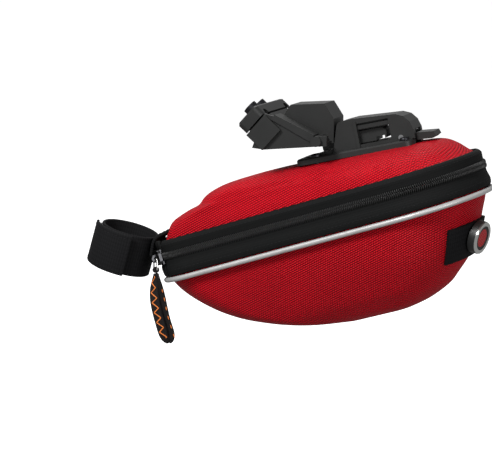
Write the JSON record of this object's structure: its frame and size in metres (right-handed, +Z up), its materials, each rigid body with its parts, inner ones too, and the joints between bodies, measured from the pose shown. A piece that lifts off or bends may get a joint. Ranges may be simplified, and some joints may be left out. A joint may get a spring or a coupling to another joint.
{
  "type": "saddle bag",
  "caption": "Wedge-shaped moulded bag that slides onto a clamp on the saddle rails, with a zip round its waist and a seatpost strap.",
  "frame": {"origin": "midway between the two saddle rails, at the middle of the rail clamp", "axes": "+X to the rear of the bicycle, +Y to the bicycle's right, +Z up in use"},
  "size_m": [0.2437, 0.0932, 0.144],
  "materials": {
    "red_nylon": "woven ballistic nylon",
    "shell_foam": "moulded foam sheet",
    "lining": "knitted lining",
    "zip_tape": "woven tape",
    "zip_coil": "nylon coil",
    "reflective": "silver reflective",
    "webbing": "woven webbing",
    "hook_loop": "hook and loop",
    "black_plastic": "fine spark texture",
    "steel": "zinc plated",
    "black_steel": "black oxide",
    "slider_metal": "black lacquered zinc",
    "bright_wire": "nickel plated",
    "chrome_ring": "metallised plastic",
    "red_lens": "moulded prism lens",
    "lace": "woven lace, orange tracer",
    "mesh": "open mesh"
  },
  "bodies": {
    "bracket": {"rail_bracket": "black_plastic", "clamp_nuts": "steel"},
    "jaw": {"clamp_plate": "black_plastic", "clamp_bolts": "black_steel"},
    "bag": {"base_plate": "black_plastic", "mount_housing": "black_plastic", "lever_pin": "steel", "lever_spring": "steel", "backing_plate": "black_plastic", "plate_screws": "black_steel", "screw_nuts": "steel", "lid_skin": "red_nylon", "lid_foam": "shell_foam", "lid_lining": "lining", "lid_pocket": "mesh", "upper_zip_tape": "zip_tape", "upper_zip_coil": "zip_coil", "nose_cover": "zip_tape", "zip_stops": "steel", "seatpost_strap": "webbing", "strap_loop_patch": "hook_loop", "strap_hook_patch": "hook_loop", "strap_tail": "webbing", "strap_tab": "webbing"},
    "lower_shell": {"shell_skin": "red_nylon", "shell_foam": "shell_foam", "shell_lining": "lining", "lower_zip_tape": "zip_tape", "lower_zip_coil": "zip_coil", "reflective_piping": "reflective", "nose_hinge": "webbing", "tool_elastic": "webbing", "light_loop": "webbing", "reflector_rivet": "steel", "reflector_base": "black_plastic", "reflector_ring": "chrome_ring", "reflector_lens": "red_lens"},
    "lever": {"release_lever": "black_plastic"},
    "slider": {"slider_body": "slider_metal", "slider_bridge": "slider_metal"},
    "pull": {"pull_ring": "bright_wire", "pull_lace": "lace"}
  },
  "joints": [
    {"name": "clamp_jaw_slide", "type": "slide", "parent": "bracket", "child": "jaw", "axis": [-0.7431, 0, 0.6691], "range_m": [0, 0.004]},
    {"name": "bag_slide", "type": "slide", "parent": "bracket", "child": "bag", "axis": [0.9787, 0, 0.2054], "range_m": [0, 0.06]},
    {"name": "release_lever_turn", "type": "hinge", "parent": "bag", "child": "lever", "pos_m": [0.08062, 0, -0.00708], "axis": [0, -1, 0], "range_deg": [0, 9], "stiffness_Nm_per_rad": 0.05, "springref_deg": -5.73},
    {"name": "shell_open", "type": "hinge", "parent": "bag", "child": "lower_shell", "pos_m": [-0.06209, 0, -0.0949], "axis": [0, 1, 0], "range_deg": [0, 40]},
    {"name": "zip_travel", "type": "hinge", "parent": "bag", "child": "slider", "pos_m": [-0.04311, 0, -0.07528], "axis": [-0.3007, 0, 0.9537], "range_deg": [0, 30]},
    {"name": "pull_swing", "type": "hinge", "parent": "slider", "child": "pull", "pos_m": [-0.06471, -0.01646, -0.08209], "axis": [-0.5606, 0.809, -0.1768], "range_deg": [-8, 100]}
  ]
}
